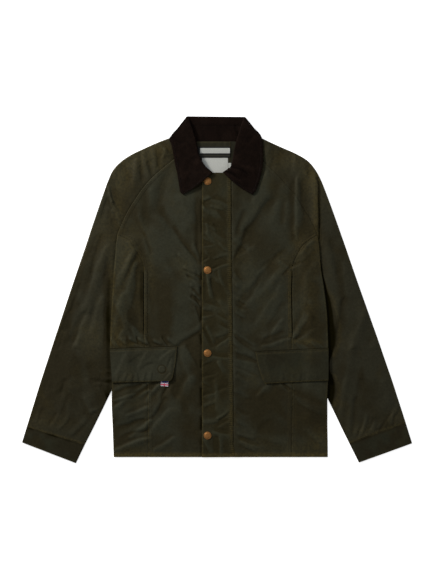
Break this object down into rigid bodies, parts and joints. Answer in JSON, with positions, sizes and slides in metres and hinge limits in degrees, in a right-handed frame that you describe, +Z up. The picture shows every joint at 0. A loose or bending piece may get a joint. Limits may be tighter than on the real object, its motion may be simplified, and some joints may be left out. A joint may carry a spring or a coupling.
{
  "type": "waxed cotton jacket",
  "caption": "Hip-length waxed cotton jacket with corduroy collar, raglan sleeves, snapped storm flap and flapped pockets, laid flat.",
  "frame": {"origin": "centre of the bounding box on the surface that the jacket lies on", "axes": "+X towards the wearer's left across the sleeves, +Y towards the collar, +Z up out of the fronts"},
  "size_m": [0.8889, 0.7886, 0.0163],
  "materials": {
    "waxed_cotton": "olive waxed cotton with a soft sheen and ochre wear along the seams",
    "corduroy": "dark brown fine-wale corduroy",
    "antique_brass": "antique copper-brass snap caps with darkened rims",
    "dark_tape": "near-black woven tape",
    "label_white": "blank off-white satin-woven label",
    "flag_tab": "woven tab with the lower half of a Union flag"
  },
  "bodies": {
    "root": {"back_panel": "waxed_cotton", "front_right": "waxed_cotton", "front_left": "waxed_cotton", "side_front_right": "waxed_cotton", "side_front_left": "waxed_cotton", "sleeve_front_right": "waxed_cotton", "sleeve_front_left": "waxed_cotton", "sleeve_back_right": "waxed_cotton", "sleeve_back_left": "waxed_cotton", "cuff_right": "waxed_cotton", "cuff_left": "waxed_cotton", "pocket_welt_right": "waxed_cotton", "pocket_welt_left": "waxed_cotton", "pocket_flap_right": "waxed_cotton", "pocket_flap_left": "waxed_cotton", "storm_flap": "waxed_cotton", "neck_patch": "waxed_cotton", "collar_wing_right": "corduroy", "collar_wing_left": "corduroy", "collar_stand": "corduroy", "collar_fall_back": "corduroy", "snap_1": "antique_brass", "snap_2": "antique_brass", "snap_3": "antique_brass", "snap_4": "antique_brass", "hanger_tape": "dark_tape", "label_narrow": "label_white", "label_main": "label_white", "label_size": "label_white", "flag_tab": "flag_tab"}
  },
  "joints": []
}
